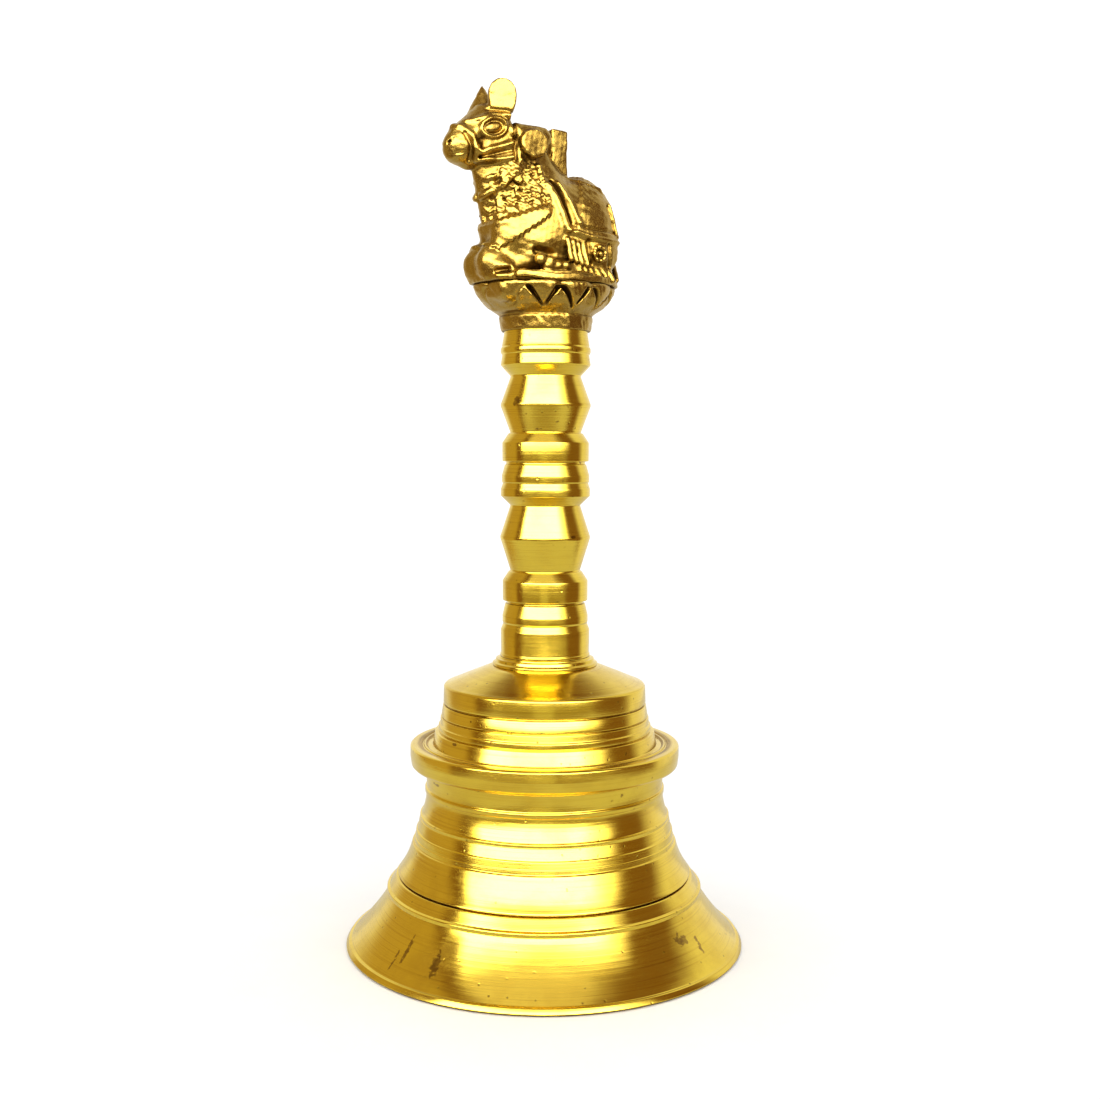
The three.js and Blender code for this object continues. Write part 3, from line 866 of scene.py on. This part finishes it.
def make_bull():
    g = Grid((-15.6, -11.6, 114.3), (20.6, 11.6, 149.4), CAST_STEP)
    field = melt(melt(bull_trunk(g), bull_legs(g), 1.2), bull_head(g), 0.5)
    clay = Clay(g, field)
    for add in (add_horns_and_ears, add_hump, add_saddle, add_necklaces, add_face, add_feet_and_tail,
                add_slab):
        add(clay)
    clay.field -= 0.07 * lumpy(g, 3.1, 1) + 0.03 * lumpy(g, 1.2, 2)
    clay.field = np.maximum(clay.field, lotus_high.z / MM - g.w)
    place(field_object("bull", g, clay.field), CAST, "bell", "nandi", "cast_brass")


# ---------- lotus base ----------

def make_lotus():
    low, high = lotus_low.z / MM, lotus_high.z / MM
    g = Grid((-14.4, -12.4, low - 0.5), (15.4, 12.4, high + 0.5), CAST_STEP)
    # round at the collar, and longer towards the bull's front and back at the top
    rise = np.clip((g.w - 110) / (high - 110), 0, 1)
    reach = np.hypot((g.u - 0.5 * rise) / (1 + 0.14 * rise), g.v)
    bearing = np.degrees(np.arctan2(g.v, g.u))
    heights = [107.2, 107.6, 109.5, 109.8, 110.2, 111.2, 112.4, 113.6, 114.4, 114.9]
    radii = [7.72, 7.85, 8.14, 7.9, 8.35, 9.75, 10.65, 11.15, 11.25, 11]
    wall = np.interp(g.w, heights, radii).astype(np.float32)
    field = (reach - wall) * 0.8
    # petals: shallow facets, parted by wedge cuts that meet in a V at the foot of each pair
    petals, first = 11, 58.0
    spacing = 360 / petals
    facet = np.abs((bearing - first + spacing / 2) % spacing - spacing / 2) / spacing
    field += 0.5 * rise * np.clip(facet * 2, 0, 1) ** 2
    draw = random.Random(3)
    for i in range(petals):
        foot = first + i * spacing
        under_knees = (foot + 50) % 360 < 90
        deep = 0.25 if under_knees else 1.7
        for lean in (-1, 1):
            spread = 12.5 * lean * draw.uniform(0.75, 1.25)
            bottom, top = 110.9 + draw.uniform(-0.3, 0.3), 113.9
            t = np.clip((g.w - bottom) / (top - bottom), 0, 1)
            off = (bearing - foot - 1.6 * lean - spread * t + 180) % 360 - 180
            away = np.abs(np.radians(off)) * 11 - (0.05 + 0.38 * t)
            mark = under(away, 0.16) * under(bottom - g.w, 0.2) * under(g.w - top, 0.15)
            field += deep * mark
    # the knees sag over the front petals in two soft folds
    field = melt(field, limb(g, (9.9, 4.4, 113.5), (10.2, -2.4, 113.5), 1.9, 1.7), 0.6)
    field = melt(field, limb(g, (7.9, 4.4, 111.4), (8.8, -1.8, 111.4), 1.25, 1.1), 0.4)
    # two dents
    for u, v, w, size, deep in ((10.6, 7.2, 110.2, 1.1, 0.9), (13.4, 4.4, 111, 0.5, 0.35)):
        spot = np.sqrt((g.u - u) ** 2 + (g.v - v) ** 2 + ((g.w - w) * 1.5) ** 2)
        field += deep * under(spot - size, 0.3)
    field -= 0.06 * lumpy(g, 2.6, 8) + 0.03 * lumpy(g, 1, 9)
    stud_bore = np.maximum(np.hypot(g.u, g.v) - BORE_RADIUS, g.w - 112.8)
    field = np.maximum(field, -stud_bore)
    field = np.maximum(np.maximum(field, g.w - high + 0.02), low - g.w)
    place(field_object("lotus_base", g, field), CAST, "bell", "lotus_pedestal", "cast_brass")


make_bull()
make_lotus()


# ---------- fixings and clapper ----------
# These are fields too, but in the part's own axes, so that u, v and w are X, Y and Z.

def grid_round(low, high, step=FIXING_STEP):
    """A grid over a box in metres, with a little room round it."""
    room = 3 * step
    return Grid([c / MM - room for c in low], [c / MM + room for c in high], step)


def place_fixing(name, g, field, body, node):
    place(field_object(name, g, field, PLAIN_AXES), WORN, body, node, "worn_brass")


def threaded(g, radius, low, high):
    """A screwed stem along Z with chamfered ends."""
    turn = np.arctan2(g.v, g.u) / (2 * np.pi)
    groove = np.abs((g.w / THREAD_PITCH - turn) % 1 - 0.5) * 2
    out = np.hypot(g.u, g.v) - radius
    end = np.abs(g.w - (low + high) / 2) - (high - low) / 2
    return np.maximum(np.maximum(out + THREAD_DEPTH * groove, end), out + end + 0.5)


def wire_ring(g, across, centre, ring, wire):
    """A ring of round wire standing upright; across is its flat direction, u or v."""
    along = g.v if across is g.u else g.u
    return np.hypot(np.hypot(along, g.w - centre) - ring, across) - wire


def make_stems():
    low, high = stud_low.z / MM, stud_high.z / MM
    g = grid_round(stud_low, stud_high)
    place_fixing("stud", g, threaded(g, STEM_RADIUS, low, high), "bell", "finial_stud")
    # the eye bolt: a ring under a collar, and a screwed stem that goes up through the crown
    low, high = eye_low.z / MM, eye_high.z / MM
    ring = eye_high.y / MM - EYE_WIRE
    g = grid_round(eye_low, eye_high)
    eye = wire_ring(g, g.u, low + ring + EYE_WIRE, ring, EYE_WIRE)
    shank = limb(g, (0, 0, low + 2 * ring + 1.4), (0, 0, low + 2 * ring + 3.4), 1.5, 2.2)
    stem = threaded(g, STEM_RADIUS, nut_low.z / MM - 2, high)
    bolt = melt(melt(eye, shank, 0.7), stem, 0.25)
    place_fixing("eye_bolt", g, bolt, "bell", "clapper_eye_bolt")


def make_nut_and_washer():
    g = grid_round(nut_low, nut_high)
    low, high = nut_low.z / MM, nut_high.z / MM
    flat = min(nut_high.x, nut_high.y) / MM - 0.02
    # a pair of flats faces along the box's narrower side
    first = 0 if nut_high.x < nut_high.y else 30
    turns = [math.radians(first + 60 * i) for i in range(3)]
    sides = np.maximum.reduce([np.abs(g.u * math.cos(a) + g.v * math.sin(a)) - flat for a in turns])
    end = np.abs(g.w - (low + high) / 2) - (high - low) / 2
    corners = (np.hypot(g.u, g.v) - flat) * 0.5 + end + 0.05
    bore = STEM_RADIUS + 0.05 - np.hypot(g.u, g.v)
    nut = np.maximum.reduce([sides, end, corners, bore])
    place_fixing("nut", g, nut, "bell", "crown_nut")
    low, high, rim = washer_low.z / MM, washer_high.z / MM, washer_high.x / MM
    hole = STEM_RADIUS + 0.15
    outline = [(hole, low), (rim - 0.2, low), (rim, low + 0.25), (rim, high - 0.2), (rim - 0.1, high),
               (hole, high)]
    place(turned("washer", outline, 96), WORN, "bell", "crown_washer", "worn_brass")


def make_clapper():
    # the link: a wire ring with its ends brazed together at one side
    ring = link_high.x / MM - LINK_WIRE
    centre = link_low.z / MM + LINK_WIRE + ring
    room = Vector((0.4 * MM,) * 3)
    g = grid_round(link_low - room, link_high + room, LINK_STEP)
    link = wire_ring(g, g.v, centre, ring, LINK_WIRE)
    joint = limb(g, (ring - 0.02, 0, centre - 0.7), (ring - 0.02, 0, centre + 0.8), LINK_WIRE, LINK_WIRE)
    link = melt(link, joint, 0.12) - 0.02 * lumpy(g, 1.1, 21)
    link = np.maximum(link, np.abs(g.u) - link_high.x / MM)
    place_fixing("link", g, link, "link", "clapper_link")
    # the rod, hammered a little uneven, with its top end bent round into a ring
    low, high = rod_low.z / MM, rod_high.z / MM
    ring = rod_high.y / MM - HOOK_WIRE
    centre = high - HOOK_WIRE - ring
    g = grid_round(rod_low, rod_high)
    hook = wire_ring(g, g.u, centre, ring, HOOK_WIRE)
    shaft = limb(g, (0, 0, low + ROD_RADIUS), (0, 0, centre - ring - 0.6), ROD_RADIUS, ROD_RADIUS - 0.1)
    rod = melt(hook, shaft, 0.6) - 0.03 * lumpy(g, 1.8, 22)
    rod = np.maximum(rod, np.abs(g.v) - rod_high.y / MM)
    place_fixing("rod", g, rod, "clapper", "clapper_rod")
    # the ball, turned with a line on each side of its belt and a small collar round the rod
    low, high = ball_low.z / MM, ball_high.z / MM
    radius, middle, bore = min(ball_high.x, ball_high.y) / MM - 0.01, (low + high) / 2, ROD_RADIUS + 0.02
    outline = [(0, middle - radius + 0.08)]
    for degrees in range(-76, 69, 4):
        shrink = 0.12 if abs(degrees) == 24 else 0
        a = math.radians(degrees)
        outline.append(((radius - shrink) * math.cos(a), middle + (radius - shrink) * math.sin(a)))
    collar, bore_foot = bore + 0.45, rod_low.z / MM - 0.05
    outline += [(collar, middle + radius * 0.94), (collar, high - 0.08), (bore, high - 0.05)]
    outline += [(bore, bore_foot), (0, bore_foot)]
    ball = turned("ball", outline, 128, closed=False)
    place(ball, STRIKER, "clapper", "clapper_ball", "clapper_brass")


make_stems()
make_nut_and_washer()
make_clapper()


# ---------- floor, light and camera ----------

def studio_world():
    """A soft studio: a large light in front, a white sheet behind, and brown sides."""
    world = bpy.data.worlds.new("studio")
    bpy.context.scene.world = world
    world.use_nodes = True
    n = Nodes(world.node_tree)
    axes = n.axes(n.add("TexCoord").outputs["Generated"])
    turn = n.math("ARCTAN2", axes[0], n.times(axes[1], -1.0))
    turn = n.times_plus(turn, 1 / (2 * math.pi), 0.5)  # 0.5 in front, 0 and 1 behind
    rise = n.times_plus(n.math("ARCSINE", axes[2]), 1 / math.pi, 0.5)  # 0.5 at the horizon
    sheet, wall, shade = (1.05, 0.98, 0.80), (0.60, 0.42, 0.14), (0.25, 0.12, 0.03)
    back_ceiling, top, room = (0.20, 0.085, 0.025, 1), (0.25, 0.12, 0.04, 1), (0.46, 0.36, 0.20, 1)
    pale, light, even = (0.72, 0.64, 0.42, 1), (10.8, 10.5, 9.9, 1), (1.2, 1.2, 1.2, 1)
    around = n.ramp(turn, [(0, 0), (0.31, 0), (0.33, 1), (0.60, 1), (0.64, 0.35), (0.69, 0)])
    upward = n.ramp(rise, [(0.498, 0), (0.507, 0.06), (0.53, 1), (0.722, 1), (0.752, 0.3),
                           (0.78, 0.08), (0.97, 0.07), (1, 0.04)])
    window = n.times(around, upward)
    base = n.ramp(turn, [(0, sheet), (0.10, sheet), (0.145, wall), (0.255, wall), (0.28, shade),
                         (0.49, shade), (0.775, shade), (0.82, sheet), (1, sheet)])
    # a dark ceiling over the back of the room
    straight_back = n.ramp(turn, [(0.05, 1), (0.09, 0), (0.91, 0), (0.95, 1)], "EASE")
    high = n.ramp(rise, [(0.66, 0), (0.78, 1)], "EASE")
    base = n.mix(n.times(high, straight_back), base, back_ceiling)
    base = n.mix(n.ramp(rise, [(0.86, 0), (0.94, 1)]), base, top)
    # the room in front, below the light, with one paler thing in it
    front = n.ramp(turn, [(0.31, 0), (0.35, 1), (0.64, 1), (0.68, 0)], "EASE")
    base = n.mix(n.times(front, n.ramp(rise, [(0.52, 1), (0.56, 0)])), base, room)
    pale_turn = n.ramp(turn, [(0.462, 0), (0.467, 1), (0.520, 1), (0.525, 0)])
    pale_rise = n.ramp(rise, [(0.36, 0), (0.37, 1), (0.492, 1), (0.498, 0)])
    base = n.mix(n.times(pale_turn, pale_rise), base, pale)
    # only reflections see the room; everything else is lit evenly
    lit = n.mix(window, base, light)
    glossy = n.add("LightPath").outputs["Is Glossy Ray"]
    background = n.add("Background", Color=n.mix(glossy, even, lit))
    n.add("OutputWorld", Surface=background)


def paper_floor():
    """A sheet with a round hole under the bell's mouth, so that a view from below sees inside."""
    back, front, side = 0.4, -0.12, 0.16
    hole, far, steps = LIP_RADIUS * 0.985, 0.6, 96
    inner, outer = [], []
    for i in range(steps):
        x, y = math.cos(i * 2 * math.pi / steps), math.sin(i * 2 * math.pi / steps)
        inner.append((x * hole, y * hole, 0))
        outer.append((min(max(x * far, -side), side), min(max(y * far, front), back), 0))
    ring = [(i, i + steps, (i + 1) % steps + steps, (i + 1) % steps) for i in range(steps)]
    floor = new_object("floor", inner + outer, ring)
    material, n = new_material("paper")
    tone = n.noise(stretched(n, 0.05), 1)
    colour = n.ramp(tone, [(0.3, 0.90), (0.7, 0.93)])
    # in reflections the paper shows a darker colour: painted shade on the floor
    glossy = n.add("LightPath").outputs["Is Glossy Ray"]
    colour = n.mix(glossy, colour, (0.66, 0.62, 0.52, 1))
    below = n.add("NewGeometry").outputs["Backfacing"]  # the paper is clear from underneath
    paper, clear = n.add("BsdfDiffuse", Color=colour), n.add("BsdfTransparent")
    n.add("OutputMaterial", Surface=n.add("MixShader", i0=below, i1=paper, i2=clear))
    floor.data.materials.append(material)
    floor.location.z = -0.05 * MM


def camera():
    """Where the photograph was taken from, fitted to the outline in it."""
    data = bpy.data.cameras.new("camera")
    data.lens, data.sensor_width = 44.67, 36
    data.clip_start, data.clip_end = 0.01, 10
    cam = bpy.data.objects.new("camera", data)
    bpy.context.scene.collection.objects.link(cam)
    cam.location = (0.84 * MM, -238.6 * MM, 86.8 * MM)
    tilt = Matrix.Rotation(math.radians(90 - 4.18), 4, "X")  # looking a little down
    roll = Matrix.Rotation(math.radians(0.2), 4, "Z")
    cam.rotation_euler = (tilt @ roll).to_euler()
    bpy.context.scene.camera = cam


studio_world()
paper_floor()
camera()
bpy.context.scene.view_settings.view_transform = "Standard"
